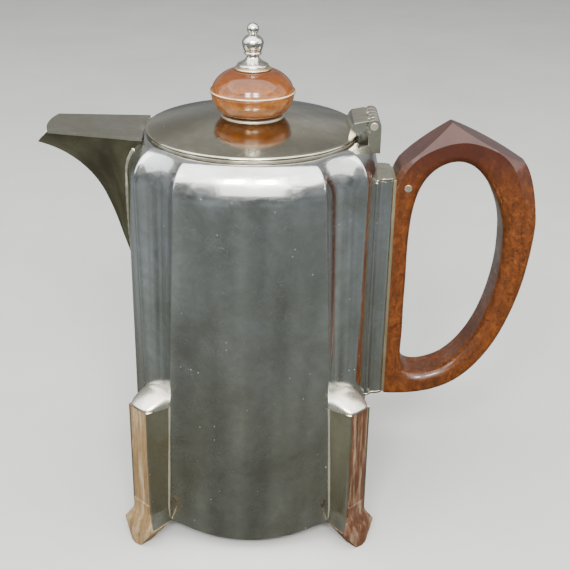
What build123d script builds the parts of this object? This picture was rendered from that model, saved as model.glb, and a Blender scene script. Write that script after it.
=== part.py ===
from build123d import *
import math
import os

# Art Deco silver coffee pot: straight four-bowed body on four wooden-footed legs,
# covered V spout, domed lid on a five-knuckle hinge, wooden knob and D handle.
# Millimetres, +Z up, spout towards -X, handle towards +X, feet on z = 0.

# ---------------------------------------------------------------- driving sizes
SPOUT_REACH = 83.0          # vessel axis to the tip of the lip
HANDLE_REACH = 111.7        # vessel axis to the back of the handle
AXIS_X = (SPOUT_REACH - HANDLE_REACH) / 2.0     # vessel axis in the part frame

# body plan: four bows joined by four coves on the diagonals; the coves narrow downwards
BOW_REACH = 48.5            # vessel axis to the middle of a bow
BOW_R = 72.3                # plan radius of a bow
BOW_HALF_TOP = 27.4         # half chord of a bow at the shoulder
BOW_HALF_FLOOR = 33.6       # the same, carried down to the floor
COVE_DEPTH_TOP = 3.2        # hollow of a cove behind its chord, at the shoulder
COVE_DEPTH_FLOOR = 1.2
WALL = 1.0
SKIRT_LOW = 3.9             # lower edge at the middle of a bow
SKIRT_HIGH = 7.5            # lower edge beside the legs
SKIRT_HALF = 28.0
SHOULDER_Z = 147.0          # where the straight wall ends
MOUTH_Z = 160.9             # flat top of the shoulder
MOUTH_R = 40.4              # outer radius of that flat
MOUTH_BORE_R = 38.4
BASE_Z = 11.0               # top of the recessed base plate
BASE_THICK = 1.2

# mouth collar and lid
COLLAR_BORE_R = 37.4
COLLAR_TOP = 161.5
COLLAR_DEPTH = 6.5
LID_R = 41.0
LID_UNDER = 161.6           # underside of the lid rim
LID_EDGE_TOP = 163.0
LID_CROWN = 167.6           # top of the dome at the axis
LID_THICK = 1.2
LID_SEAT_R = 35.4           # inner edge of the flat lid rim
FLANGE_R = 36.8
FLANGE_WALL = 0.9
FLANGE_BOTTOM = 156.9

# hinge
HINGE_X = 45.9              # pin centre from the vessel axis
HINGE_Z = 166.0
HINGE_LENGTH = 20.4
KNUCKLES = 5
KNUCKLE_R = 2.65
KNUCKLE_GAP = 0.10
PIN_R = 1.45
PIN_CLEAR = 0.05

# spout
COVER_TIP_X = -76.4
COVER_TIP_Z = 163.2
COVER_ROOT_Z = 161.9
COVER_ROOT_X = -41.0
COVER_THICK = 1.0
COVER_TIP_HALF = 11.4
COVER_ROOT_HALF = 15.6
COVER_BOW = 1.9             # roundness of the front edge
COVER_ROOT_R = 43.2         # where the cover's top starts to slope down to the lid
COVER_CLEAR_R = 41.4
LIP_Z = 155.3
SPOUT_WALL = 1.1
KEEL = [(-86.0, 155.9), (-83.0, 155.3), (-78.8, 154.0), (-74.5, 152.2), (-70.2, 149.6),
        (-66.3, 146.5), (-62.4, 142.4), (-58.9, 137.2), (-56.2, 131.2), (-53.8, 124.6),
        (-51.6, 117.2), (-49.6, 110.9), (-46.0, 99.0)]
KEEL_ROOT_Z = 108.5         # where the keel meets the bow
KEEL_STATIONS = 22
STRAINER_HOLE_R = 1.25
STRAINER_ROWS = 8
STRAINER_PITCH = 4.4
STRAINER_FIRST_Z = 122.0
STRAINER_MARGIN = 1.9

# legs, in a leg frame: x outwards along the diagonal, y across, z up
LEG_TOP = 61.8
LEG_ROOT_X = 48.0
LEG_ROOT_HALF = 7.9         # half width inside the body, at the top of the leg
LEG_ROOT_LOW = 5.8          # the same at the ankle
LEG_FACE_X = 61.0
LEG_FACE_HALF = 5.6
CHANNEL_WALL = 0.9
ANKLE_Z = 14.0
CHANNEL_BOTTOM = 7.4
FLARE_OUT = 2.2             # sideways and outward flare of the channel toe
LEDGE_Z = 18.2
LEDGE_STEP = 0.6
FOOT_SLOPE = 0.40           # outward slope of the carved foot
FOOT_CORNER_X = 63.7
FOOT_CORNER_Z = 8.7
FOOT_RIDGE_X = 65.4
FOOT_HALF = 8.2
FOOT_TREAD_HALF = 2.8
FOOT_TREAD_X = 59.6
CAP_BACK_Z = 68.2
CAP_FRONT_Z = 66.6
CAP_PROUD = 0.5
CAP_SIDE = 1.2

# handle and its mount
MOUNT_X0 = 44.0
MOUNT_FACE_X = 54.6
MOUNT_HALF = 10.0
MOUNT_ROOT_HALF = 12.0
MOUNT_BOTTOM = 50.5
MOUNT_TOP = 145.4
MOUNT_WALL = 1.0
PLATE_THICK = 1.1
PLATE_HALF = 8.6
HANDLE_X0 = MOUNT_FACE_X + PLATE_THICK
HANDLE_HALF = 9.0
HANDLE_EDGE_R = 2.4
OPENING_EDGE_R = 3.4
HANDLE_FACETS = [(HANDLE_X0, 145.6), (57.6, 149.4), (76.4, 165.8), (106.2, 150.0)]
HANDLE_SWEEP = [(106.2, 150.0), (108.3, 145.8), (109.9, 140.6), (111.0, 134.6), (111.6, 127.5),
                (111.3, 118.5), (110.3, 109.0), (108.4, 98.2), (105.3, 87.2), (101.0, 76.2),
                (96.2, 67.8), (91.0, 61.2), (84.8, 55.8), (77.2, 52.0), (69.0, 50.0),
                (62.4, 49.4), (HANDLE_X0, 49.4)]
HANDLE_OPENING = [(61.9, 96.0), (61.9, 112.0), (62.3, 125.0), (63.6, 134.6), (66.2, 142.2),
                  (70.4, 147.7), (75.2, 150.6), (80.2, 151.4), (84.8, 150.0), (89.2, 146.2),
                  (93.2, 140.4), (96.4, 133.8), (98.6, 126.4), (99.4, 118.0), (99.3, 108.0),
                  (98.0, 97.8), (95.7, 88.0), (92.4, 79.0), (88.2, 71.5), (83.5, 65.8),
                  (78.6, 62.0), (73.4, 59.9), (68.0, 59.2), (64.2, 60.6), (62.3, 64.5),
                  (61.9, 74.0)]
HANDLE_ARCH = [(53.0, 138.0), (56.2, 141.4), (58.0, 145.4), (60.6, 150.0), (63.6, 153.2),
               (68.3, 156.3), (74.8, 158.9), (80.5, 159.8), (86.0, 159.1), (91.0, 157.4),
               (96.0, 154.7), (99.6, 151.0), (102.3, 146.0), (104.7, 140.2), (106.9, 134.6),
               (109.2, 128.0), (112.6, 118.0), (115.5, 104.0)]
PIN_POS = (60.3, 141.2)
HANDLE_PIN_R = 1.5
TANG_HALF = 1.5             # half thickness of the tongues let into the wood
TANG_LENGTH = 6.6

# knob and finial
KNOB_SEAT_R = 12.2
KNOB_SEAT_TOP = 168.3
STUD_R = 2.0
BORE_R = 2.05
BULB = [(11.2, 168.3), (12.6, 169.0), (14.0, 170.6), (15.2, 172.6), (15.9, 174.7)]
BULB_RIM_R = 16.3
BULB_RIM_Z = 176.6
BULB_TOP = [(15.5, 178.0), (14.6, 179.8), (13.0, 181.7), (10.9, 183.3), (8.4, 184.4), (7.0, 184.7)]
WASHER_R = 7.1
WASHER_TOP = 185.8
FINIAL = [(5.9, 185.8), (6.0, 186.5), (5.4, 187.0), (4.4, 187.5), (3.4, 188.2), (2.6, 189.0),
          (2.35, 189.6), (2.6, 190.1), (3.2, 190.5), (3.35, 191.0), (3.1, 191.4), (3.35, 191.9),
          (3.75, 192.9), (4.05, 194.2), (4.0, 195.2), (3.5, 196.3), (2.6, 197.1), (1.75, 197.6)]
FINIAL_BALL_R = 2.25
FINIAL_BALL_Z = 199.75
BALL_NECK_Z = 197.95
SOCKET_DEPTH = 2.6          # stud hole in the finial
UNDER_WASHER_R = 5.5
UNDER_WASHER_THICK = 0.8
UNDER_WASHER_TOP = LID_CROWN - LID_THICK - 0.12     # just under the dome
NUT_CORNER_R = 4.0
NUT_THICK = 2.6
NUT_BOTTOM = UNDER_WASHER_TOP - UNDER_WASHER_THICK - NUT_THICK
STUD_PROUD = 0.8            # stud showing under the nut


# ---------------------------------------------------------------- helpers
def export(shape, name):
    """Place the shape in the part frame and write it as one node."""
    placed = shape.moved(Location((AXIS_X, 0, 0)))
    export_step(placed, os.path.join("parts", name + ".step"))


def solid_of(shape):
    """The largest solid of a boolean result."""
    return max(shape.solids(), key=lambda s: s.volume)


def box_between(x0, x1, y0, y1, z0, z1):
    centre = ((x0 + x1) / 2, (y0 + y1) / 2, (z0 + z1) / 2)
    return Box(x1 - x0, y1 - y0, z1 - z0).moved(Location(centre))


def tube(outer, inner, z0, z1):
    """Plain ring about the vessel axis."""
    ring = Cylinder(outer, z1 - z0) - Cylinder(inner, z1 - z0 + 2)
    return ring.moved(Location((0, 0, (z0 + z1) / 2)))


def disc(radius, z0, z1):
    return Cylinder(radius, z1 - z0).moved(Location((0, 0, (z0 + z1) / 2)))


def face_xz(points, y=0.0):
    """Polygon in the XZ plane at a given y."""
    return make_face(Polyline([(x, y, z) for x, z in points], close=True).edges())


def prism_y(points, half):
    """Polygon in XZ, extruded to y = -half .. +half."""
    return extrude(face_xz(points, -half), amount=2 * half, dir=(0, 1, 0))


def turned(outline):
    """Solid of revolution about the vessel axis from (radius, z) points."""
    face = make_face(Polyline([(r, 0, z) for r, z in outline], close=True).edges())
    return revolve(face, axis=Axis.Z)


def arc_points(start, middle, end, count):
    """Points along the circular arc through three plan points."""
    arc = ThreePointArc((start[0], start[1], 0), (middle[0], middle[1], 0), (end[0], end[1], 0))
    spots = [arc @ (i / (count - 1)) for i in range(count)]
    return [(spot.X, spot.Y) for spot in spots]


# ---------------------------------------------------------------- body surface
ARC_STEPS = 9               # points along each arc of the plan
SHOULDER_STEPS = 7          # levels through the rounded shoulder


def plan_arcs(z):
    """The eight arcs of the plan at a height, counter-clockwise from the front bow."""
    down = max(0.0, (SHOULDER_Z - z) / SHOULDER_Z)
    half = BOW_HALF_TOP + (BOW_HALF_FLOOR - BOW_HALF_TOP) * down
    hollow = COVE_DEPTH_TOP + (COVE_DEPTH_FLOOR - COVE_DEPTH_TOP) * down
    face = BOW_REACH - BOW_R + math.sqrt(BOW_R ** 2 - half ** 2)
    diag = (half + face) / 2.0 - hollow / math.sqrt(2)
    front = arc_points((-half, -face), (0, -BOW_REACH), (half, -face), ARC_STEPS)
    cove = arc_points((half, -face), (diag, -diag), (face, -half), ARC_STEPS)
    arcs = []
    for quarter in range(4):
        turn = math.radians(90 * quarter)
        c, s = math.cos(turn), math.sin(turn)
        for arc in (front, cove):
            arcs.append([(x * c - y * s, x * s + y * c) for x, y in arc])
    return arcs


def level_wire(inset, mouth_r, lean, z):
    """Plan outline drawn in towards the round mouth; lean runs from 0 to 1."""
    edges = []
    for arc in plan_arcs(z):
        points = []
        for x, y in arc:
            full = math.hypot(x, y)
            r = mouth_r + (full - inset - mouth_r) * (1.0 - lean)
            points.append((x * r / full, y * r / full, z))
        edges.append(Spline(points).edge())
    return Wire(edges)


def body_solid(inset, mouth_r, z0, z_mouth):
    """Ruled wall plus rounded shoulder, as one solid without its mouth."""
    foot = Face(level_wire(inset, mouth_r, 0.0, z0))
    neck = Face(level_wire(inset, mouth_r, 0.0, SHOULDER_Z))
    wall = loft([foot, neck], ruled=True)
    sections = []
    for i in range(SHOULDER_STEPS):
        t = math.radians(90.0 * i / (SHOULDER_STEPS - 1))
        z = SHOULDER_Z + (z_mouth - SHOULDER_Z) * math.sin(t)
        sections.append(Face(level_wire(inset, mouth_r, 1.0 - math.cos(t), z)))
    return wall + loft(sections)


def skirt_cutters():
    """Four wedges that shape the lower edge into a shallow arch under each bow."""
    rise = SKIRT_HIGH - SKIRT_LOW
    arch = ThreePointArc((-SKIRT_HALF, 0, SKIRT_HIGH), (0, 0, SKIRT_LOW), (SKIRT_HALF, 0, SKIRT_HIGH))
    left = Line((-60, 0, SKIRT_HIGH), (-SKIRT_HALF, 0, SKIRT_HIGH))
    right = Line((SKIRT_HALF, 0, SKIRT_HIGH), (60, 0, SKIRT_HIGH))
    down = Polyline([(60, 0, SKIRT_HIGH), (60, 0, -rise - 5), (-60, 0, -rise - 5), (-60, 0, SKIRT_HIGH)])
    profile = make_face([left.edge(), arch.edge(), right.edge()] + list(down.edges()))
    slab = extrude(profile, amount=70, dir=(0, -1, 0))
    wedge = extrude(make_face(Polyline([(0, 0, -20), (-70, -70, -20), (70, -70, -20)], close=True).edges()),
                    amount=60, dir=(0, 0, 1))
    cutter = slab & wedge
    return [cutter.rotate(Axis.Z, 90 * i) for i in range(4)]


body_outer = body_solid(0.0, MOUTH_R, 0.0, MOUTH_Z)
body_inner = body_solid(WALL, MOUTH_R - WALL, -1.0, MOUTH_Z - WALL)


# ---------------------------------------------------------------- body, base and collar
def strainer_holes():
    """Rows of round holes through the wall behind the spout, kept inside its V."""
    holes = []
    for row in range(STRAINER_ROWS):
        z = STRAINER_FIRST_Z + STRAINER_PITCH * row * 0.87
        room = COVER_ROOT_HALF * (z - KEEL_ROOT_Z) / (COVER_ROOT_Z - KEEL_ROOT_Z)
        reach = room - STRAINER_HOLE_R - STRAINER_MARGIN
        start = (row % 2) * STRAINER_PITCH / 2.0
        columns = int((reach - start) / STRAINER_PITCH) + 1 if reach >= start else 0
        spots = [start + STRAINER_PITCH * i for i in range(columns)]
        for y in sorted(set(spots + [-y for y in spots])):
            drill = Cylinder(STRAINER_HOLE_R, 12, rotation=(0, 90, 0))
            holes.append(drill.moved(Location((-BOW_REACH, y, z))))
    return holes


def body_wall():
    wall = body_outer - body_inner - disc(MOUTH_BORE_R, MOUTH_Z - 8, MOUTH_Z + 2)
    for cutter in skirt_cutters():
        wall = wall - cutter
    for hole in strainer_holes():
        wall = wall - hole
    return solid_of(wall)


def base_plate():
    plate = Face(level_wire(WALL + 0.02, MOUTH_R, 0.0, BASE_Z - BASE_THICK))
    return extrude(plate, amount=BASE_THICK, dir=(0, 0, 1))


def mouth_collar():
    neck = tube(MOUTH_BORE_R - 0.05, COLLAR_BORE_R, COLLAR_TOP - COLLAR_DEPTH, COLLAR_TOP)
    rim = tube(MOUTH_R - 0.1, COLLAR_BORE_R, MOUTH_Z, COLLAR_TOP)
    return neck + rim


# ---------------------------------------------------------------- spout
def cover_top_z(x):
    """Height of the cover's upper face at a station along the spout."""
    part = (x - COVER_TIP_X) / (COVER_ROOT_X - COVER_TIP_X)
    return COVER_TIP_Z + (COVER_ROOT_Z - COVER_TIP_Z) * part


def cover_half(x):
    part = (x - COVER_TIP_X) / (COVER_ROOT_X - COVER_TIP_X)
    return COVER_TIP_HALF + (COVER_ROOT_HALF - COVER_TIP_HALF) * part


def spout_solid(inset, top_drop):
    """Ruled V sections along the smoothed keel; inset thins it for the cavity."""
    keel_line = Spline([(x, 0, z) for x, z in KEEL])
    sections = []
    for i in range(KEEL_STATIONS):
        spot = keel_line @ (i / (KEEL_STATIONS - 1))
        x, z = spot.X, spot.Z
        top = cover_top_z(x) - top_drop
        half = cover_half(x) - inset * 1.25
        keel = z + inset * 2.0 if inset else z
        corners = [(x, -half, top), (x, 0, keel), (x, half, top)]
        sections.append(make_face(Polyline(corners, close=True).edges()))
    return loft(sections, ruled=True)


def mouth_cut():
    """Everything beyond the sloping mouth of the spout."""
    slope = (COVER_TIP_Z - LIP_Z) / (COVER_TIP_X + SPOUT_REACH)
    far = 14.0
    points = [(COVER_TIP_X + far, COVER_TIP_Z + far * slope),
              (-SPOUT_REACH - far, LIP_Z - far * slope),
              (-SPOUT_REACH - far - 40, LIP_Z - far * slope),
              (-SPOUT_REACH - far - 40, COVER_TIP_Z + far * slope)]
    return prism_y(points, 40)


def spout_walls():
    shell = spout_solid(0.0, COVER_THICK) - mouth_cut() - body_outer
    shell = shell - spout_solid(SPOUT_WALL, COVER_THICK - 0.5)
    return solid_of(shell)


def spout_cover():
    """Flat plate with a bowed front edge; its root is turned down on to the shoulder."""
    x0 = COVER_TIP_X
    plate = prism_y([(x0 - 5, cover_top_z(x0 - 5) - COVER_THICK), (COVER_ROOT_X, COVER_ROOT_Z - COVER_THICK),
                     (COVER_ROOT_X, COVER_ROOT_Z), (x0 - 5, cover_top_z(x0 - 5))], 30)
    root = prism_y([(-46.0, 158.0), (COVER_ROOT_X, 158.0), (COVER_ROOT_X, COVER_ROOT_Z - 0.2),
                    (-46.0, cover_top_z(-46.0) - 0.2)], 30)
    lip = 0.35
    tip_half = COVER_TIP_HALF + lip
    root_half = COVER_ROOT_HALF + lip
    front = ThreePointArc((x0, -tip_half, 150), (x0 - COVER_BOW, 0, 150), (x0, tip_half, 150))
    sides = Polyline([(x0, tip_half, 150), (COVER_ROOT_X, root_half, 150),
                      (COVER_ROOT_X, -root_half, 150), (x0, -tip_half, 150)])
    outline = extrude(make_face([front.edge()] + list(sides.edges())), amount=20, dir=(0, 0, 1))
    cover = (plate + root) & outline
    slant = turned([(0, 150), (COVER_CLEAR_R, 150), (COVER_CLEAR_R, 160.95), (COVER_ROOT_R, COVER_ROOT_Z),
                    (COVER_ROOT_R, 175), (0, 175)])
    cover = cover - slant - body_outer
    return solid_of(cover)


# ---------------------------------------------------------------- legs
def leg_loft(lower, upper):
    """Ruled solid between two tapered plans, each (x0, half0, x1, half1, z)."""
    faces = []
    for x0, half0, x1, half1, z in (lower, upper):
        plan = [(x0, -half0, z), (x1, -half1, z), (x1, half1, z), (x0, half0, z)]
        faces.append(make_face(Polyline(plan, close=True).edges()))
    return loft(faces, ruled=True)


def leg_outside():
    """Outer form of the channel with its flared toe."""
    low = (LEG_ROOT_X, LEG_ROOT_LOW, LEG_FACE_X, LEG_FACE_HALF, ANKLE_Z)
    high = (LEG_ROOT_X, LEG_ROOT_HALF, LEG_FACE_X, LEG_FACE_HALF, LEG_TOP)
    toe = (LEG_ROOT_X, LEG_ROOT_LOW, LEG_FACE_X + FLARE_OUT * 0.7, LEG_FACE_HALF + FLARE_OUT * 0.8,
           CHANNEL_BOTTOM)
    return leg_loft(low, high) + leg_loft(toe, low)


def leg_cavity():
    """Space inside the channel that the wood fills; it is open to the front."""
    x0, x1 = LEG_ROOT_X + 3.6, LEG_FACE_X + 6.0
    low = (x0, LEG_ROOT_LOW - CHANNEL_WALL, x1, LEG_FACE_HALF - 1.0, ANKLE_Z)
    high = (x0, LEG_ROOT_HALF - 1.6, x1, LEG_FACE_HALF - 1.9, LEG_TOP)
    toe = (x0, LEG_ROOT_LOW - CHANNEL_WALL + 0.1, x1, LEG_FACE_HALF + 1.6, CHANNEL_BOTTOM)
    return leg_loft(low, high) + leg_loft(toe, low)


body_leg_frame = body_outer.rotate(Axis.Z, 45)      # body as seen from a leg on +X
cavity = leg_cavity()


def leg_channel():
    return solid_of(leg_outside() - cavity - body_leg_frame)


def foot_insert():
    """Wooden leg face with a ledge, a flared ankle and a pointed foot."""
    face = LEG_FACE_X + 0.5
    slope_run = FOOT_SLOPE * ANKLE_Z
    side = [(LEG_ROOT_X, 0.0), (face + slope_run, 0.0), (face, ANKLE_Z), (face, LEDGE_Z),
            (face - LEDGE_STEP, LEDGE_Z + 0.3), (face - LEDGE_STEP, LEG_TOP), (LEG_ROOT_X, LEG_TOP)]
    profile = prism_y(side, 20)
    ridge = [(LEG_ROOT_X, -20, -1), (FOOT_CORNER_X, -FOOT_HALF, -1), (FOOT_RIDGE_X, 0, -1),
             (FOOT_CORNER_X, FOOT_HALF, -1), (LEG_ROOT_X, 20, -1)]
    ridge_prism = extrude(make_face(Polyline(ridge, close=True).edges()), amount=80, dir=(0, 0, 1))
    far = FOOT_RIDGE_X + 1.0
    ear_x = LEG_FACE_X + FLARE_OUT * 0.7 - 0.3
    tread = (FOOT_TREAD_X, FOOT_TREAD_HALF, far, FOOT_TREAD_HALF, 0.0)
    sole = (LEG_ROOT_X + 5.0, LEG_ROOT_LOW + 0.8, far, FOOT_HALF, CHANNEL_BOTTOM)
    ear_low = (ear_x, FOOT_HALF, far, FOOT_HALF, CHANNEL_BOTTOM)
    ear_high = (ear_x, FOOT_HALF, far, FOOT_HALF, FOOT_CORNER_Z)
    ankle = (LEG_FACE_X, LEG_FACE_HALF - 0.7, far, LEG_FACE_HALF - 0.7, ANKLE_Z)
    carved = leg_loft(tread, sole) + leg_loft(ear_low, ear_high) + leg_loft(ear_high, ankle)
    foot = (cavity + carved) & profile & ridge_prism
    return solid_of(foot - leg_outside_shell() - body_leg_frame)


def leg_outside_shell():
    """The channel's metal, used to keep the wood out of it."""
    return leg_outside() - cavity


def arch_face(x, half, crown):
    """Cross-section of a cap: short upright sides under a rounded top."""
    spring = LEG_TOP + CAP_SIDE
    rise = crown - spring
    arch = [(x, half * math.cos(math.radians(a)), spring + rise * math.sin(math.radians(a)))
            for a in range(0, 181, 20)]
    top = Spline(arch, tangents=[(0, 0, 1), (0, 0, -1)]).edge()
    rest = Polyline([(x, -half, spring), (x, -half, LEG_TOP), (x, half, LEG_TOP), (x, half, spring)])
    return make_face([top] + list(rest.edges()))


def leg_cap():
    """Silver loaf-shaped cap over channel and wood, arched across and rounded at its outer end."""
    x0, x1 = LEG_ROOT_X - 5.0, LEG_FACE_X + 0.3 + CAP_PROUD
    slope = (LEG_ROOT_HALF - LEG_FACE_HALF) / (LEG_FACE_X - LEG_ROOT_X)
    half0 = LEG_ROOT_HALF + 5.0 * slope + CAP_PROUD
    half1 = LEG_FACE_HALF + CAP_PROUD
    loaf = loft([arch_face(x0, half0, CAP_BACK_Z), arch_face(x1, half1, CAP_FRONT_Z)], ruled=True)
    back = Polyline([(x1, 0, LEG_TOP), (x1, 0, LEG_TOP + CAP_SIDE)])
    nose = ThreePointArc((x1, 0, LEG_TOP + CAP_SIDE), (x1 - 1.3, 0, LEG_TOP + CAP_SIDE + 2.2),
                         (x1 - 4.4, 0, CAP_FRONT_Z - 0.35))
    rest = Polyline([(x1 - 4.4, 0, CAP_FRONT_Z - 0.35), (x0 - 1, 0, CAP_BACK_Z + 1.0), (x0 - 1, 0, LEG_TOP),
                     (x1, 0, LEG_TOP)])
    side = make_face(list(back.edges()) + [nose.edge()] + list(rest.edges()))
    form = extrude(side.moved(Location((0, -20, 0))), amount=40, dir=(0, 1, 0))
    return solid_of((loaf & form) - body_leg_frame)


# ---------------------------------------------------------------- handle mount
def mount_column():
    """Hollow bowed column on the body, with hollow fillets where it meets the bow."""
    plan = [(MOUNT_X0, -MOUNT_ROOT_HALF), (48.3, -MOUNT_ROOT_HALF), (49.6, -MOUNT_HALF),
            (52.2, -MOUNT_HALF + 0.25), (54.0, -MOUNT_HALF + 0.9), (MOUNT_FACE_X, -MOUNT_HALF + 1.6),
            (MOUNT_FACE_X, MOUNT_HALF - 1.6), (54.0, MOUNT_HALF - 0.9), (52.2, MOUNT_HALF - 0.25),
            (49.6, MOUNT_HALF), (48.3, MOUNT_ROOT_HALF), (MOUNT_X0, MOUNT_ROOT_HALF)]
    outline = make_face(Polyline([(x, y, MOUNT_BOTTOM + 1) for x, y in plan], close=True).edges())
    column = extrude(outline, amount=MOUNT_TOP - MOUNT_BOTTOM - 2, dir=(0, 0, 1))
    hollow = box_between(MOUNT_X0, MOUNT_FACE_X - MOUNT_WALL, -MOUNT_HALF + 2.2, MOUNT_HALF - 2.2,
                         MOUNT_BOTTOM, MOUNT_TOP)
    return column - hollow - body_outer


def mount_cap(z0, z1):
    """Flat end plate of the column."""
    plan = [(MOUNT_X0, -MOUNT_ROOT_HALF), (48.4, -MOUNT_ROOT_HALF), (50.0, -MOUNT_HALF - 0.15),
            (52.4, -MOUNT_HALF), (54.2, -MOUNT_HALF + 0.8), (MOUNT_FACE_X, -MOUNT_HALF + 1.5),
            (MOUNT_FACE_X, MOUNT_HALF - 1.5), (54.2, MOUNT_HALF - 0.8), (52.4, MOUNT_HALF),
            (50.0, MOUNT_HALF + 0.15), (48.4, MOUNT_ROOT_HALF), (MOUNT_X0, MOUNT_ROOT_HALF)]
    outline = make_face(Polyline([(x, y, z0) for x, y in plan], close=True).edges())
    return solid_of(extrude(outline, amount=z1 - z0, dir=(0, 0, 1)) - body_outer)


def tang(z0, z1, length):
    """Flat silver tongue let into the wood from the back plate."""
    return box_between(HANDLE_X0, HANDLE_X0 + length, -TANG_HALF, TANG_HALF, z0, z1)


def handle_pin():
    return Cylinder(HANDLE_PIN_R, 2 * HANDLE_HALF + 0.3, rotation=(90, 0, 0)).moved(
        Location((PIN_POS[0], 0, PIN_POS[1])))


def back_plate():
    plate = box_between(MOUNT_FACE_X, HANDLE_X0, -PLATE_HALF, PLATE_HALF, MOUNT_BOTTOM + 0.4, MOUNT_TOP - 1.0)
    plate = plate + tang(136.0, 143.6, TANG_LENGTH) + tang(53.5, 58.5, TANG_LENGTH + 2.0)
    return plate - handle_pin()


# ---------------------------------------------------------------- wooden handle
def spline_face(lines, sweep):
    """Closed XZ face: straight facets followed by one smooth sweep."""
    edges = list(Polyline([(x, 0, z) for x, z in lines]).edges())
    edges.append(Spline([(x, 0, z) for x, z in sweep]).edge())
    edges.append(Line((sweep[-1][0], 0, sweep[-1][1]), (lines[0][0], 0, lines[0][1])).edge())
    return make_face(edges)


def handle_blank():
    """D-shaped blank with its lower outer edges rounded."""
    face = spline_face(HANDLE_FACETS, HANDLE_SWEEP)
    blank = extrude(face.moved(Location((0, -HANDLE_HALF, 0))), amount=2 * HANDLE_HALF, dir=(0, 1, 0))
    rounded = []
    for edge in blank.edges():
        mid = edge @ 0.5
        on_face = abs(abs(mid.Y) - HANDLE_HALF) < 0.01
        if on_face and mid.X > 90 and mid.Z < 120:
            rounded.append(edge)
    return fillet(rounded, HANDLE_EDGE_R)


def arch_normals():
    """Outward unit normals of the front-face arch."""
    normals = []
    last = len(HANDLE_ARCH) - 1
    for i in range(len(HANDLE_ARCH)):
        ax, az = HANDLE_ARCH[max(i - 1, 0)]
        bx, bz = HANDLE_ARCH[min(i + 1, last)]
        length = math.hypot(bx - ax, bz - az)
        normals.append((-(bz - az) / length, (bx - ax) / length))
    return normals


def arch_section(y, grow):
    """Region inside the arch, moved outwards by grow, closed well below the wood."""
    points = [(x + nx * grow, y, z + nz * grow) for (x, z), (nx, nz) in zip(HANDLE_ARCH, arch_normals())]
    start, end = points[0], points[-1]
    closing = Polyline([end, (150, y, end[2] - 20), (150, y, 20), (20, y, 20), (20, y, start[2] - 5), start])
    return make_face([Spline(points).edge()] + list(closing.edges()))


def chamfered_envelope():
    """Two cones of 45 degrees that leave the broad chamfer above the arch."""
    halves = []
    for side in (-1, 1):
        outer = arch_section(side * HANDLE_HALF, 0.0)
        centre = arch_section(0.0, HANDLE_HALF * 0.97)
        halves.append(loft([outer, centre], ruled=True))
    return halves[0] + halves[1]


def opening_cutter():
    face = make_face(Spline([(x, 0, z) for x, z in HANDLE_OPENING], periodic=True).edge())
    return extrude(face.moved(Location((0, -HANDLE_HALF - 1, 0))), amount=2 * HANDLE_HALF + 2, dir=(0, 1, 0))


def handle_wood():
    wood = handle_blank() - opening_cutter()
    inner = []
    for edge in wood.edges():
        mid = edge @ 0.5
        on_face = abs(abs(mid.Y) - HANDLE_HALF) < 0.01
        box = edge.bounding_box()
        if on_face and box.size.Z > 60 and box.max.X < 101 and box.min.X > 60:
            inner.append(edge)
    wood = fillet(inner, OPENING_EDGE_R)
    wood = wood & chamfered_envelope()
    wood = wood - tang(136.0, 143.6, TANG_LENGTH) - tang(53.5, 58.5, TANG_LENGTH + 2.0)
    return solid_of(wood - handle_pin())


# ---------------------------------------------------------------- hinge
def knuckle_spans():
    """(y0, y1) of each knuckle from the front."""
    step = HINGE_LENGTH / KNUCKLES
    return [(-HINGE_LENGTH / 2 + i * step, -HINGE_LENGTH / 2 + (i + 1) * step) for i in range(KNUCKLES)]


def barrel(y0, y1, radius):
    rod = Cylinder(radius, y1 - y0, rotation=(90, 0, 0))
    return rod.moved(Location((HINGE_X, (y0 + y1) / 2, HINGE_Z)))


def hinge_leaf(profile, mine, bore, keep_away):
    """Leaf with its own knuckles; gaps are cut where the other leaf's knuckles turn."""
    leaf = prism_y(profile, HINGE_LENGTH / 2)
    for i, (y0, y1) in enumerate(knuckle_spans()):
        if i not in mine:
            leaf = leaf - barrel(y0 - KNUCKLE_GAP, y1 + KNUCKLE_GAP, keep_away)
    for i, (y0, y1) in enumerate(knuckle_spans()):
        if i in mine:
            low = y0 if i == 0 else y0 + KNUCKLE_GAP / 2
            high = y1 if i == KNUCKLES - 1 else y1 - KNUCKLE_GAP / 2
            leaf = leaf + barrel(low, high, KNUCKLE_R)
    return leaf - barrel(-20, 20, bore)


def hinge_body_leaf():
    profile = [(43.9, 150.0), (48.6, 150.0), (48.6, HINGE_Z - 0.5), (43.9, HINGE_Z - 2.3)]
    leaf = hinge_leaf(profile, (0, 2, 4), PIN_R, KNUCKLE_R + 0.35)
    leaf = leaf - body_outer - disc(LID_R + 0.5, 158, 170)
    return solid_of(leaf - box_between(40, 52, -12, 12, 140, 155.6))


def hinge_lid_leaf():
    profile = [(36.6, 162.4), (40.6, 162.4), (40.6, 164.3), (HINGE_X - 0.4, 164.3),
               (HINGE_X - 0.4, 168.0), (42.9, 168.0), (38.3, 167.1), (37.0, 165.2)]
    leaf = hinge_leaf(profile, (1, 3), PIN_R + PIN_CLEAR, KNUCKLE_R + 0.35)
    return solid_of(leaf - lid_full())


def hinge_pin():
    return barrel(-HINGE_LENGTH / 2 - 0.4, HINGE_LENGTH / 2 + 0.4, PIN_R)


# ---------------------------------------------------------------- lid
def dome_radius(crown, edge_z, edge_r):
    rise = crown - edge_z
    return (edge_r * edge_r + rise * rise) / (2 * rise)


def lid_full():
    """Outer form of the lid as a filled solid."""
    return lid_outline([(0, 155.0), (LID_R, 155.0)])


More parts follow.
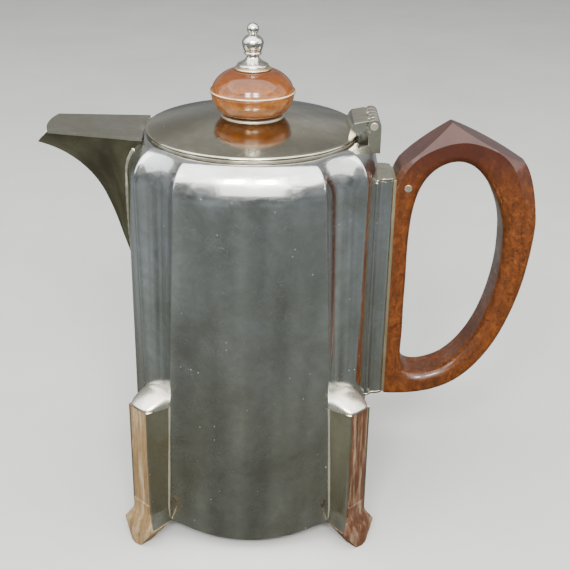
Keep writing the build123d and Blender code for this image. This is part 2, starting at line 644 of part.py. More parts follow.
def lid_outline(below):
    """Revolved lid with the given lower outline from the axis to the rim."""
    radius = dome_radius(LID_CROWN, LID_EDGE_TOP, LID_R - 0.5)
    centre_z = LID_CROWN - radius
    mid_r = LID_R / 2
    mid_z = centre_z + math.sqrt(radius * radius - mid_r * mid_r)
    dome = ThreePointArc((LID_R - 0.5, 0, LID_EDGE_TOP), (mid_r, 0, mid_z), (0, 0, LID_CROWN))
    lower = Polyline([(0, 0, LID_CROWN)] + [(r, 0, z) for r, z in below]
                     + [(LID_R, 0, LID_EDGE_TOP - 0.4), (LID_R - 0.5, 0, LID_EDGE_TOP)])
    return revolve(make_face([dome.edge()] + list(lower.edges())), axis=Axis.Z)


def lid_dome():
    shell = lid_outline([(0, LID_UNDER), (LID_R, LID_UNDER)])
    radius = dome_radius(LID_CROWN, LID_EDGE_TOP, LID_R - 0.5) - LID_THICK
    centre_z = LID_CROWN - LID_THICK - radius
    hollow = Sphere(radius).moved(Location((0, 0, centre_z))) & disc(LID_SEAT_R, LID_UNDER - 1, LID_CROWN)
    return solid_of(shell - hollow - disc(BORE_R, 150, 175))


def lid_flange():
    return tube(FLANGE_R, FLANGE_R - FLANGE_WALL, FLANGE_BOTTOM, LID_UNDER)


# ---------------------------------------------------------------- knob
def knob_seat_ring():
    top = KNOB_SEAT_TOP
    ring = turned([(BORE_R, 165.0), (KNOB_SEAT_R, 165.0), (KNOB_SEAT_R, top - 0.75), (11.6, top - 0.45),
                   (10.6, top - 0.05), (10.2, top), (BORE_R, top)])
    return solid_of(ring - lid_full())


def knob_bulb():
    lower = Spline([(r, 0, z) for r, z in BULB] + [(BULB_RIM_R - 0.5, 0, BULB_RIM_Z - 1.0)]).edge()
    rim = ThreePointArc((BULB_RIM_R - 0.5, 0, BULB_RIM_Z - 1.0), (BULB_RIM_R, 0, BULB_RIM_Z),
                        (BULB_RIM_R - 0.5, 0, BULB_RIM_Z + 0.8)).edge()
    upper = Spline([(BULB_RIM_R - 0.5, 0, BULB_RIM_Z + 0.8)] + [(r, 0, z) for r, z in BULB_TOP]).edge()
    z_top = BULB_TOP[-1][1]
    inside = Polyline([(BULB_TOP[-1][0], 0, z_top), (BORE_R, 0, z_top), (BORE_R, 0, KNOB_SEAT_TOP),
                       (BULB[0][0], 0, KNOB_SEAT_TOP)])
    return revolve(make_face([lower, rim, upper] + list(inside.edges())), axis=Axis.Z)


def finial_washer():
    z0 = BULB_TOP[-1][1]
    return turned([(BORE_R, z0), (WASHER_R - 0.3, z0), (WASHER_R, z0 + 0.4), (WASHER_R - 0.2, z0 + 0.8),
                   (6.2, WASHER_TOP), (BORE_R, WASHER_TOP)])


def finial():
    """Turned finial with a ball on top, blind bored for the stud."""
    profile = Spline([(r, 0, z) for r, z in FINIAL[2:]]).edge()
    lower = Polyline([(0, 0, WASHER_TOP)] + [(r, 0, z) for r, z in FINIAL[:3]])
    neck_r, neck_z = FINIAL[-1]
    ball_r = math.sqrt(FINIAL_BALL_R ** 2 - (FINIAL_BALL_Z - BALL_NECK_Z) ** 2)
    neck = Line((neck_r, 0, neck_z), (ball_r, 0, BALL_NECK_Z)).edge()
    ball = ThreePointArc((ball_r, 0, BALL_NECK_Z), (FINIAL_BALL_R, 0, FINIAL_BALL_Z),
                         (0, 0, FINIAL_BALL_Z + FINIAL_BALL_R)).edge()
    close = Line((0, 0, FINIAL_BALL_Z + FINIAL_BALL_R), (0, 0, WASHER_TOP)).edge()
    body = revolve(make_face([profile, neck, ball, close] + list(lower.edges())), axis=Axis.Z)
    return solid_of(body - disc(STUD_R, WASHER_TOP - 1, WASHER_TOP + SOCKET_DEPTH))


def knob_stud():
    return disc(STUD_R, NUT_BOTTOM - STUD_PROUD, WASHER_TOP + SOCKET_DEPTH)


def knob_under_washer():
    return tube(UNDER_WASHER_R, BORE_R, UNDER_WASHER_TOP - UNDER_WASHER_THICK, UNDER_WASHER_TOP)


def knob_nut():
    hexagon = RegularPolygon(radius=NUT_CORNER_R, side_count=6).moved(Location((0, 0, NUT_BOTTOM)))
    return extrude(hexagon, amount=NUT_THICK, dir=(0, 0, 1)) - disc(STUD_R, NUT_BOTTOM - 1, UNDER_WASHER_TOP)


# ---------------------------------------------------------------- build every node
os.makedirs("parts", exist_ok=True)

export(body_wall(), "body_wall")
export(base_plate(), "base_plate")
export(mouth_collar(), "mouth_collar")
export(spout_walls(), "spout_walls")
export(spout_cover(), "spout_cover")

channel, cap, insert = leg_channel(), leg_cap(), foot_insert()
for place, angle in (("front_left", -135), ("front_right", -45), ("back_right", 45), ("back_left", 135)):
    export(channel.rotate(Axis.Z, angle), "leg_channel_" + place)
    export(cap.rotate(Axis.Z, angle), "leg_cap_" + place)
    export(insert.rotate(Axis.Z, angle), "foot_insert_" + place)

export(mount_column(), "handle_mount")
export(mount_cap(MOUNT_TOP - 1.0, MOUNT_TOP), "mount_cap_top")
export(mount_cap(MOUNT_BOTTOM, MOUNT_BOTTOM + 1.0), "mount_cap_bottom")
export(back_plate(), "handle_back_plate")
export(handle_wood(), "handle_wood")
export(handle_pin(), "handle_pin")

export(hinge_body_leaf(), "hinge_body_leaf")
export(hinge_lid_leaf(), "hinge_lid_leaf")
export(hinge_pin(), "hinge_pin")

export(lid_dome(), "lid_dome")
export(lid_flange(), "lid_flange")
export(knob_seat_ring(), "knob_seat_ring")
export(knob_bulb(), "knob_bulb")
export(finial_washer(), "finial_washer")
export(finial(), "finial")
export(knob_stud(), "knob_stud")
export(knob_under_washer(), "knob_under_washer")
export(knob_nut(), "knob_nut")
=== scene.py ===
import math

import bmesh
import bpy
from mathutils import Matrix, Vector


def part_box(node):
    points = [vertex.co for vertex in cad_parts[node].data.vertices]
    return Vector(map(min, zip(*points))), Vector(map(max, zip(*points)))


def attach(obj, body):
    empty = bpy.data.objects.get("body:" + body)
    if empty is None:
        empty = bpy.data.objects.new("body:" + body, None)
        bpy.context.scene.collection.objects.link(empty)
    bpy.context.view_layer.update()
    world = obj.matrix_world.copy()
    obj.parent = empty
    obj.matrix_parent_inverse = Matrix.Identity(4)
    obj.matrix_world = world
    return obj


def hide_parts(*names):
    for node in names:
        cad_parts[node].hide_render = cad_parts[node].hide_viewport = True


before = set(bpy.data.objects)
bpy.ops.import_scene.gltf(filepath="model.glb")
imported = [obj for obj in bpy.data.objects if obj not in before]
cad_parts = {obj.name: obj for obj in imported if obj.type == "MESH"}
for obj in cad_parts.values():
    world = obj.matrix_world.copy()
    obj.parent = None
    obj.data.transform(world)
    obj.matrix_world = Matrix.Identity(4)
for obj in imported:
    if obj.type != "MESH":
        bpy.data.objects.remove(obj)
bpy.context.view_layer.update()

# Lengths below are in millimetres in the vessel frame: vessel axis at x = y = 0, floor at z = 0.
low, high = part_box("lid_dome")
AXIS = ((low.x + high.x) / 2, (low.y + high.y) / 2)

BOW_REACH, BOW_R = 48.5, 72.3
BOW_HALF_TOP, BOW_HALF_FLOOR, COVE_DEPTH_TOP, COVE_DEPTH_FLOOR = 27.4, 33.6, 3.2, 1.2
WALL, SHOULDER_Z, MOUTH_Z, MOUTH_R, MOUTH_BORE_R = 1.0, 147.0, 160.9, 40.4, 38.4
SKIRT_LOW, SKIRT_HIGH, SKIRT_HALF = 3.9, 7.5, 28.0
LID_R, LID_UNDER, LID_EDGE_TOP, LID_CROWN, LID_THICK, LID_SEAT_R = 41.0, 161.6, 163.0, 167.6, 1.2, 35.4
COVER_TIP_X, COVER_TIP_Z, COVER_ROOT_X, COVER_ROOT_Z = -76.4, 163.2, -41.0, 161.9
COVER_TIP_HALF, COVER_ROOT_HALF, COVER_THICK = 11.4, 15.6, 1.0
LEG_TOP, LEG_ROOT_X, LEG_ROOT_HALF, LEG_ROOT_LOW, LEG_FACE_X, LEG_FACE_HALF = 61.8, 48.0, 7.9, 5.8, 61.0, 5.6
CAP_RISE = 6.4
LEG_ANGLES = {"front_left": -135, "front_right": -45, "back_right": 45, "back_left": 135}
LIP_X, LIP_Z, SPOUT_WALL, FILLET = -83.0, 155.3, 1.1, 1.5
STRAINER_LOW_Z, STRAINER_ROWS, STRAINER_PITCH, STRAINER_R = 122.0, 8, 4.4, 1.25
SPOUT_FOOT_Z, STRAINER_MARGIN = 108.5, 1.9      # where the spout starts; wall left beside the holes
BOW_STEPS, COVE_STEPS = 400, 100                # plan samples along one bow and one cove
KEEL = [(-86.0, 155.9), (-83.0, 155.3), (-78.8, 154.0), (-74.5, 152.2), (-70.2, 149.6),
        (-66.3, 146.5), (-62.4, 142.4), (-58.9, 137.2), (-56.2, 131.2), (-53.8, 124.6),
        (-51.6, 117.2), (-49.6, 110.9), (-46.0, 99.0)]


# ---------------------------------------------------------------- meshes
def to_row(x, y, z):
    """Metres in the part's frame, from millimetres in the vessel frame."""
    return (AXIS[0] + x / 1000.0, AXIS[1] + y / 1000.0, z / 1000.0)


def mark_creases(mesh, degrees):
    """Smooth shading with sharp edges where two faces meet at more than the angle."""
    bm = bmesh.new()
    bm.from_mesh(mesh)
    bmesh.ops.recalc_face_normals(bm, faces=bm.faces)
    for face in bm.faces:
        face.smooth = True
    limit = math.radians(degrees)
    for edge in bm.edges:
        edge.smooth = len(edge.link_faces) == 2 and edge.calc_face_angle(0.0) < limit
    bm.to_mesh(mesh)
    bm.free()


def finish_piece(name, mesh, body, material, stands_for, crease, bevel):
    mark_creases(mesh, crease)
    piece = bpy.data.objects.new(name, mesh)
    bpy.context.scene.collection.objects.link(piece)
    mesh.materials.clear()
    mesh.materials.append(material)
    for polygon in mesh.polygons:
        polygon.material_index = 0
    if bevel:
        modifier = piece.modifiers.new("soft_edges", "BEVEL")
        modifier.width = bevel / 1000.0
        modifier.segments = 3
        modifier.limit_method = "ANGLE"
        modifier.angle_limit = math.radians(crease)
        modifier.harden_normals = True
        modifier.use_clamp_overlap = True
    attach(piece, body)
    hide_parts(*stands_for)
    return piece


def piece_from(name, points, faces, body, material, stands_for, crease=35, bevel=0.0):
    mesh = bpy.data.meshes.new(name)
    mesh.from_pydata([to_row(*p) for p in points], [], faces)
    mesh.validate()
    return finish_piece(name, mesh, body, material, stands_for, crease, bevel)


def refined(node, body, material, crease=30, bevel=0.2, floor_z=None):
    """Welded, softly edged copy of a CAD node; nothing of it stays below floor_z."""
    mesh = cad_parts[node].data.copy()
    bm = bmesh.new()
    bm.from_mesh(mesh)
    if floor_z is not None:
        for vert in bm.verts:
            vert.co.z = max(vert.co.z, floor_z / 1000.0)
    bmesh.ops.remove_doubles(bm, verts=bm.verts, dist=2e-6)
    bmesh.ops.dissolve_limit(bm, angle_limit=math.radians(0.4), verts=bm.verts, edges=bm.edges)
    bm.to_mesh(mesh)
    bm.free()
    return finish_piece(node + "_fine", mesh, body, material, [node], crease, bevel)


def softened(outline, radius, steps=3):
    """Closed (r, z) outline with its off-axis corners rounded."""
    result = []
    count = len(outline)
    for i, (r, z) in enumerate(outline):
        pr, pz = outline[i - 1]
        nr, nz = outline[(i + 1) % count]
        a = Vector((pr - r, pz - z))
        b = Vector((nr - r, nz - z))
        if r < 1e-6 or a.length < 1e-6 or b.length < 1e-6 or math.degrees(a.angle(b)) > 150:
            result.append((r, z))
            continue
        cut = min(radius, 0.4 * a.length, 0.4 * b.length)
        p0 = Vector((r, z)) + a.normalized() * cut
        p2 = Vector((r, z)) + b.normalized() * cut
        for k in range(steps + 1):
            t = k / steps
            q = p0 * (1 - t) ** 2 + Vector((r, z)) * 2 * t * (1 - t) + p2 * t * t
            result.append((q.x, q.y))
    return result


def lathe(name, outline, body, material, stands_for, segments=192, crease=35):
    """Closed (r, z) outline turned about the vessel axis."""
    points, rings = [], []
    for r, z in outline:
        if r < 1e-6:
            rings.append([len(points)] * segments)
            points.append((0.0, 0.0, z))
            continue
        rings.append(list(range(len(points), len(points) + segments)))
        for k in range(segments):
            turn = 2 * math.pi * k / segments
            points.append((r * math.cos(turn), r * math.sin(turn), z))
    faces = []
    for i, ring in enumerate(rings):
        after = rings[(i + 1) % len(rings)]
        if ring[0] == ring[1] and after[0] == after[1]:
            continue
        for k in range(segments):
            j = (k + 1) % segments
            corner = [ring[k], ring[j], after[j], after[k]]
            faces.append(list(dict.fromkeys(corner)))
    return piece_from(name, points, faces, body, material, stands_for, crease)


def curve_through(points, count):
    """Catmull-Rom samples through 2-D points."""
    result = []
    last = len(points) - 1
    for i in range(count):
        u = i / (count - 1) * last
        k = min(int(u), last - 1)
        t = u - k
        p0, p1 = points[max(k - 1, 0)], points[k]
        p2, p3 = points[k + 1], points[min(k + 2, last)]
        result.append(tuple(
            0.5 * (2 * b + (c - a) * t + (2 * a - 5 * b + 4 * c - d) * t * t
                   + (3 * b - a - 3 * c + d) * t ** 3)
            for a, b, c, d in zip(p0, p1, p2, p3)))
    return result


def arc_through(start, middle, end, count):
    """Plan points along the circle through three points."""
    ax, ay = start
    bx, by = middle
    cx, cy = end
    d = 2 * (ax * (by - cy) + bx * (cy - ay) + cx * (ay - by))
    aa, bb, cc = ax * ax + ay * ay, bx * bx + by * by, cx * cx + cy * cy
    ux = (aa * (by - cy) + bb * (cy - ay) + cc * (ay - by)) / d
    uy = (aa * (cx - bx) + bb * (ax - cx) + cc * (bx - ax)) / d
    r = math.hypot(ax - ux, ay - uy)
    t0 = math.atan2(ay - uy, ax - ux)
    t1 = math.atan2(cy - uy, cx - ux)
    tm = math.atan2(by - uy, bx - ux)
    turn = (t1 - t0) % (2 * math.pi)
    if (tm - t0) % (2 * math.pi) > turn:
        turn -= 2 * math.pi
    return [(ux + r * math.cos(t0 + turn * i / (count - 1)), uy + r * math.sin(t0 + turn * i / (count - 1)))
            for i in range(count)]


# ---------------------------------------------------------------- materials
class Tree:
    """Small helper that adds nodes to one material."""

    def __init__(self, name):
        self.material = bpy.data.materials.new(name)
        self.material.use_nodes = True
        self.tree = self.material.node_tree
        self.tree.nodes.clear()
        self.place = self.add("ShaderNodeTexCoord").outputs["Object"]

    def add(self, kind, props=None, **sockets):
        node = self.tree.nodes.new(kind)
        for key, value in (props or {}).items():
            setattr(node, key, value)
        for key, value in sockets.items():
            self.put(node.inputs[key.replace("_", " ")], value)
        return node

    def put(self, socket, value):
        if isinstance(value, bpy.types.NodeSocket):
            self.tree.links.new(value, socket)
        else:
            socket.default_value = value

    def noise(self, scale, detail=4.0, rough=0.55, stretch=None, turn=None, warp=0.0):
        place = self.place
        if stretch:
            mapping = self.add("ShaderNodeMapping", Vector=place)
            mapping.inputs["Scale"].default_value = stretch
            if turn:
                mapping.inputs["Rotation"].default_value = [math.radians(a) for a in turn]
            place = mapping.outputs[0]
        node = self.add("ShaderNodeTexNoise", Vector=place, Scale=scale, Detail=detail, Roughness=rough,
                        Distortion=warp)
        return node.outputs["Fac"]

    def ramp(self, value, *stops):
        node = self.add("ShaderNodeValToRGB", Fac=value)
        elements = node.color_ramp.elements
        while len(elements) < len(stops):
            elements.new(0.5)
        for element, (at, colour) in zip(elements, stops):
            element.position = at
            grey = (colour, colour, colour, 1.0)
            element.color = grey if isinstance(colour, float) else (*colour, 1.0)
        return node.outputs["Color"]

    def math(self, operation, a, b=None):
        node = self.tree.nodes.new("ShaderNodeMath")
        node.operation = operation
        self.put(node.inputs[0], a)
        if b is not None:
            self.put(node.inputs[1], b)
        return node.outputs[0]

    def mix(self, amount, a, b):
        node = self.tree.nodes.new("ShaderNodeMix")
        node.data_type = "RGBA"
        self.put(node.inputs[0], amount)
        for socket, value in ((node.inputs[6], a), (node.inputs[7], b)):
            self.put(socket, (*value, 1.0) if isinstance(value, tuple) else value)
        return node.outputs[2]

    def height(self, low_z, high_z):
        """0 below low_z, 1 above high_z, in millimetres above the floor."""
        split = self.add("ShaderNodeSeparateXYZ", Vector=self.place)
        node = self.add("ShaderNodeMapRange", Value=split.outputs[2])
        node.inputs[1].default_value = low_z / 1000.0
        node.inputs[2].default_value = high_z / 1000.0
        return node.outputs[0]

    def bump(self, value, strength, distance, normal=None):
        node = self.add("ShaderNodeBump", Height=value, Strength=strength, Distance=distance / 1000.0)
        if normal is not None:
            self.put(node.inputs["Normal"], normal)
        return node.outputs[0]

    def shade(self, **sockets):
        shader = self.add("ShaderNodeBsdfPrincipled")
        for key, value in sockets.items():
            self.put(shader.inputs[key.replace("_", " ")], value)
        out = self.add("ShaderNodeOutputMaterial")
        self.tree.links.new(shader.outputs[0], out.inputs[0])
        return self.material


# Direction in degrees, stretch, width of a line, and how much of the surface stays free of them.
SCRATCH_SETS = (((20, 8, 35), (900.0, 30.0, 900.0), 0.012, 0.49),
                ((70, 40, -30), (1500.0, 55.0, 1500.0), 0.011, 0.47),
                ((10, 80, 55), (700.0, 24.0, 700.0), 0.010, 0.50),
                ((-35, 15, 80), (1900.0, 90.0, 1900.0), 0.013, 0.47),
                ((55, -60, 15), (1100.0, 36.0, 1100.0), 0.010, 0.51))


def silver(name, clean, dull, gloss, brushed=0.0, amber=0.0, dent=0.12, wear=1.0):
    """Old plated silver: soft tarnish, fine scratches in several directions, dust specks and small dents."""
    t = Tree(name)
    blotch = t.ramp(t.noise(38.0, 7.0, 0.62, warp=0.6), (0.36, 0.0), (0.70, 1.0))
    mottle = t.ramp(t.noise(310.0, 5.0, 0.7), (0.40, 0.0), (0.72, 1.0))
    scratches = None
    for turn, stretch, width, share in SCRATCH_SETS:
        raw = t.noise(1.0, 1.0, 0.5, stretch=stretch, turn=turn, warp=0.25)
        line = t.ramp(raw, (0.5 - width, 0.0), (0.5, 1.0), (0.5 + width, 0.0))
        gate = t.ramp(t.noise(60.0 + abs(turn[0]), 2.0, 0.5), (share - 0.10, 0.0), (share + 0.16, 1.0))
        line = t.math("MULTIPLY", line, gate)
        scratches = line if scratches is None else t.math("MAXIMUM", scratches, line)
    specks = t.add("ShaderNodeTexVoronoi", Vector=t.place, Scale=300.0, Randomness=1.0)
    dots = t.ramp(specks.outputs["Distance"], (0.04, 1.0), (0.085, 0.0))
    sparse = t.ramp(t.noise(120.0, 2.0), (0.52, 0.0), (0.58, 1.0))
    dots = t.math("MULTIPLY", dots, sparse)
    scratches = t.math("MULTIPLY", scratches, wear)
    colour = t.mix(t.math("MULTIPLY", blotch, 0.75), clean, dull)
    colour = t.mix(t.math("MULTIPLY", mottle, 0.22), colour, tuple(c * 0.72 for c in dull))
    if amber:
        stain = t.ramp(t.noise(85.0, 5.0, 0.6), (0.46, 0.0), (0.66, 1.0))
        colour = t.mix(t.math("MULTIPLY", stain, amber), colour, (0.46, 0.31, 0.13))
    colour = t.mix(t.math("MULTIPLY", scratches, 0.12), colour, (0.86, 0.85, 0.81))
    colour = t.mix(t.math("MULTIPLY", dots, 0.8), colour, (0.88, 0.86, 0.80))
    rough = t.math("ADD", t.math("MULTIPLY", blotch, 0.07), gloss)
    rough = t.math("ADD", rough, t.math("MULTIPLY", mottle, 0.03))
    rough = t.math("ADD", rough, t.math("MULTIPLY", scratches, 0.22))
    rough = t.math("ADD", rough, t.math("MULTIPLY", dots, 0.5))
    normal = t.bump(t.noise(27.0, 2.0, 0.4), 0.6, dent)
    normal = t.bump(t.noise(1100.0, 3.0, 0.6), 0.10, 0.004, normal)
    if brushed:
        hairs = t.noise(1.0, 3.0, 0.6, stretch=(2600.0, 2600.0, 120.0))
        normal = t.bump(hairs, brushed, 0.02, normal)
    normal = t.bump(scratches, 0.42, 0.025, normal)
    return t.shade(Base_Color=colour, Metallic=1.0, Roughness=rough, Normal=normal)


def wood(name, pale, deep, pore, grain, coat, rough, top=None, wear_and_glare=0.0, gold=0.0, rim_highlight=None):
    """Close-grained hardwood with streaks, pores and an old polish.

    top darkens it upwards, which on the handle is painted shade; wear_and_glare rubs it pale in streaks that
    are partly real wear and partly painted glare; gold adds glints; and rim_highlight paints a pale
    highlight line round it.
    """
    t = Tree(name)
    streak = t.ramp(t.noise(1.0, 6.0, 0.62, stretch=grain, warp=0.8), (0.33, 0.0), (0.68, 1.0))
    cloud = t.ramp(t.noise(95.0, 5.0, 0.6), (0.35, 0.0), (0.68, 1.0))
    flecks = t.ramp(t.noise(1.0, 3.0, 0.6, stretch=tuple(3.2 * g for g in grain)), (0.57, 0.0), (0.68, 1.0))
    fine = t.ramp(t.noise(900.0, 5.0, 0.75), (0.44, 0.0), (0.66, 1.0))
    colour = t.mix(streak, pale, deep)
    colour = t.mix(t.math("MULTIPLY", cloud, 0.45), colour, tuple(0.62 * c for c in deep))
    colour = t.mix(t.math("MULTIPLY", fine, 0.30), colour, pore)
    colour = t.mix(t.math("MULTIPLY", flecks, 0.60), colour, pore)
    if gold:
        glint = t.ramp(t.noise(420.0, 5.0, 0.72, warp=0.8), (0.50, 0.0), (0.66, 1.0))
        colour = t.mix(t.math("MULTIPLY", glint, gold), colour, tuple(1.7 * c for c in pale))
    # Darker towards the top; on the handle this darkening is painted shade.
    if top:
        level, tint = top
        mask = t.math("MULTIPLY", t.height(*level), t.ramp(t.noise(60.0, 3.0), (0.25, 0.75), (0.7, 1.0)))
        colour = t.mix(mask, colour, tint)
    # A pale band painted round the rim: a painted highlight, not a colour of the wood.
    if rim_highlight:
        under, over, tint = rim_highlight
        edge = t.math("SUBTRACT", t.height(under - 0.12, under + 0.12), t.height(over - 0.12, over + 0.12))
        edge = t.math("MULTIPLY", edge, t.ramp(t.noise(240.0, 3.0), (0.30, 0.55), (0.55, 1.0)))
        colour = t.mix(edge, colour, tint)
    # Pale rubbed streaks: partly real wear, partly painted glare off the varnish.
    if wear_and_glare:
        rub_and_glare = t.ramp(t.noise(1.0, 6.0, 0.7, stretch=(420.0, 420.0, 45.0)), (0.48, 0.0), (0.66, 1.0))
        colour = t.mix(t.math("MULTIPLY", rub_and_glare, wear_and_glare), colour, (0.36, 0.29, 0.19))
    sheen = t.math("ADD", t.math("MULTIPLY", cloud, 0.10), rough)
    sheen = t.math("ADD", sheen, t.math("MULTIPLY", flecks, 0.12))
    normal = t.bump(flecks, 0.30, -0.03)
    normal = t.bump(streak, 0.12, 0.03, normal)
    return t.shade(Base_Color=colour, Roughness=sheen, Specular_IOR_Level=0.25, Coat_Weight=coat,
                   Coat_Roughness=0.06, Normal=normal)


body_silver = silver("silver_body", (0.78, 0.805, 0.81), (0.44, 0.43, 0.37), 0.05, dent=0.20)
lid_silver = silver("silver_lid", (0.62, 0.59, 0.48), (0.38, 0.35, 0.25), 0.09,
                    amber=0.12, dent=0.06, wear=0.3)
trim_silver = silver("silver_trim", (0.78, 0.75, 0.63), (0.46, 0.42, 0.30), 0.12,
                     amber=0.30, dent=0.05, wear=0.5)
cap_silver = silver("silver_caps", (0.93, 0.89, 0.79), (0.56, 0.51, 0.39), 0.24,
                    brushed=0.8, amber=0.28, dent=0.10)
spout_silver = silver("silver_spout", (0.62, 0.60, 0.48), (0.36, 0.33, 0.22), 0.09,
                      amber=0.14, dent=0.12, wear=0.4)
cover_silver = silver("silver_cover", (0.78, 0.74, 0.62), (0.46, 0.42, 0.30), 0.10,
                      amber=0.16, dent=0.08, wear=0.4)
# The hinge silver is brighter than the rest so its flat faces look lit: painted light. Its amber stains are
# tarnish.
lit_hinge_silver = silver("silver_hinge_painted_light", (0.90, 0.87, 0.74), (0.56, 0.50, 0.32), 0.12,
                      amber=0.30, dent=0.04, wear=0.4)
seam_silver = silver("silver_solder", (0.95, 0.92, 0.80), (0.70, 0.65, 0.46), 0.42,
                     amber=0.25, dent=0.02, wear=0.3)
inner_silver = silver("silver_inside", (0.50, 0.48, 0.41), (0.28, 0.25, 0.19), 0.34,
                      amber=0.30, dent=0.05)
finial_silver = silver("silver_finial", (0.84, 0.83, 0.79), (0.50, 0.47, 0.39), 0.06,
                       amber=0.12, dent=0.02)
brass = silver("brass_fastening", (0.78, 0.70, 0.47), (0.52, 0.42, 0.22), 0.28, amber=0.25, dent=0.02)
pin_metal = silver("nickel_pins", (0.66, 0.60, 0.50), (0.40, 0.33, 0.24), 0.32, amber=0.30, dent=0.02)
# The darker top given to the handle is painted shade.
handle_timber = wood("handle_timber", (0.122, 0.034, 0.005), (0.040, 0.010, 0.002), (0.010, 0.003, 0.0015),
                     (420.0, 420.0, 230.0), 0.50, 0.26,
                     top=((136.0, 156.0), (0.030, 0.007, 0.004)), gold=0.36)
# The knob's pale line at its rim bead is a painted highlight.
knob_timber = wood("knob_timber", (0.250, 0.084, 0.011), (0.125, 0.036, 0.005), (0.045, 0.011, 0.003),
                   (160.0, 420.0, 420.0), 0.48, 0.13, top=((177.4, 184.0), (0.085, 0.020, 0.004)), gold=0.2,
                   rim_highlight=(176.78, 177.10, (0.72, 0.60, 0.42)))
foot_timber = wood("foot_timber", (0.105, 0.043, 0.021), (0.048, 0.018, 0.008), (0.015, 0.006, 0.003),
                   (760.0, 760.0, 70.0), 0.25, 0.34, wear_and_glare=0.36)
# Paler copy of the foot timber for the left feet: its extra paleness is painted glare.
glare_lit_foot_timber = wood("foot_timber_painted_glare", (0.23, 0.150, 0.068), (0.13, 0.076, 0.032), (0.042, 0.022, 0.010),
                   (760.0, 760.0, 70.0), 0.20, 0.36, wear_and_glare=0.62)


# ---------------------------------------------------------------- body wall
def plan_points(half, hollow):
    """A plan outline with its eight arrises just rounded, denser beside them."""
    face = BOW_REACH - BOW_R + math.sqrt(BOW_R ** 2 - half ** 2)
    middle = (half + face) / 2.0 - hollow / math.sqrt(2)
    front = arc_through((-half, -face), (0, -BOW_REACH), (half, -face), BOW_STEPS + 1)
    cove = arc_through((half, -face), (middle, -middle), (face, -half), COVE_STEPS + 1)
    raw = []
    for quarter in range(4):
        c, s = math.cos(math.pi / 2 * quarter), math.sin(math.pi / 2 * quarter)
        for arc in (front, cove):
            raw += [(x * c - y * s, x * s + y * c) for x, y in arc[:-1]]
    reach = 3
    smooth = []
    for i in range(len(raw)):
        near = [raw[(i + k) % len(raw)] for k in range(-reach, reach + 1)]
        smooth.append((sum(p[0] for p in near) / len(near), sum(p[1] for p in near) / len(near)))
    kept = []
    for i, point in enumerate(smooth):
        step = i % (BOW_STEPS + COVE_STEPS)
        distance = min(step, abs(step - BOW_STEPS), BOW_STEPS + COVE_STEPS - step)
        if distance <= 8 or i % 6 == 0:
            kept.append(point)
    return kept


def skirt_z(x, y):
    """Height of the scalloped lower edge: lowest at the middle of each bow."""
    across = min(abs(x), abs(y))
    if across >= SKIRT_HALF:
        return SKIRT_HIGH
    rise = SKIRT_HIGH - SKIRT_LOW
    radius = (SKIRT_HALF ** 2 + rise ** 2) / (2 * rise)
    return SKIRT_LOW + radius - math.sqrt(radius ** 2 - across ** 2)


NECK = plan_points(BOW_HALF_TOP, COVE_DEPTH_TOP)
GROUND = plan_points(BOW_HALF_FLOOR, COVE_DEPTH_FLOOR)


def body_mesh():
    """Closed shell: outer face, mouth edge, inner face, then a rounded lower edge."""
    straight = [0.0, 0.004, 0.012, 0.04, 0.12, 0.3, 0.5, 0.7, 0.85, 0.94, 1.0]
    turns = [math.radians(90.0 * i / 30) for i in range(1, 31)]

    def level(inset, mouth, top):
        made = []
        for part in straight:
            ring = []
            for (nx, ny), (gx, gy) in zip(NECK, GROUND):
                z0 = skirt_z(gx, gy)
                z = z0 + (SHOULDER_Z - z0) * part
                up = z / SHOULDER_Z
                x, y = gx + (nx - gx) * up, gy + (ny - gy) * up
                full = math.hypot(x, y)
                ring.append((x * (full - inset) / full, y * (full - inset) / full, z))
            made.append(ring)
        for turn in turns:
            ring = []
            for x, y in NECK:
                full = math.hypot(x, y)
                r = mouth + (full - inset - mouth) * math.cos(turn)
                ring.append((x * r / full, y * r / full, SHOULDER_Z + (top - SHOULDER_Z) * math.sin(turn)))
            made.append(ring)
        return made

    def circle(radius, z):
        return [(x * radius / math.hypot(x, y), y * radius / math.hypot(x, y), z) for x, y in NECK]

    outer = level(0.0, MOUTH_R, MOUTH_Z)
    inner = level(WALL, MOUTH_R - WALL, MOUTH_Z - WALL)
    rows = list(outer)
    rows.append(circle(MOUTH_BORE_R + 0.2, MOUTH_Z))
    rows.append(circle(MOUTH_BORE_R, MOUTH_Z - 0.2))
    rows.append(circle(MOUTH_BORE_R, MOUTH_Z - WALL))
    rows += inner[::-1]
    rows.append([((x + u) / 2, (y + v) / 2, z - 0.12) for (x, y, z), (u, v, w) in zip(inner[0], outer[0])])
    count = len(NECK)
    points = [p for row in rows for p in row]
    faces = []
    for i in range(len(rows)):
        a, b = i * count, ((i + 1) % len(rows)) * count
        for k in range(count):
            j = (k + 1) % count
            faces.append((a + k, a + j, b + j, b + k))
    return points, faces


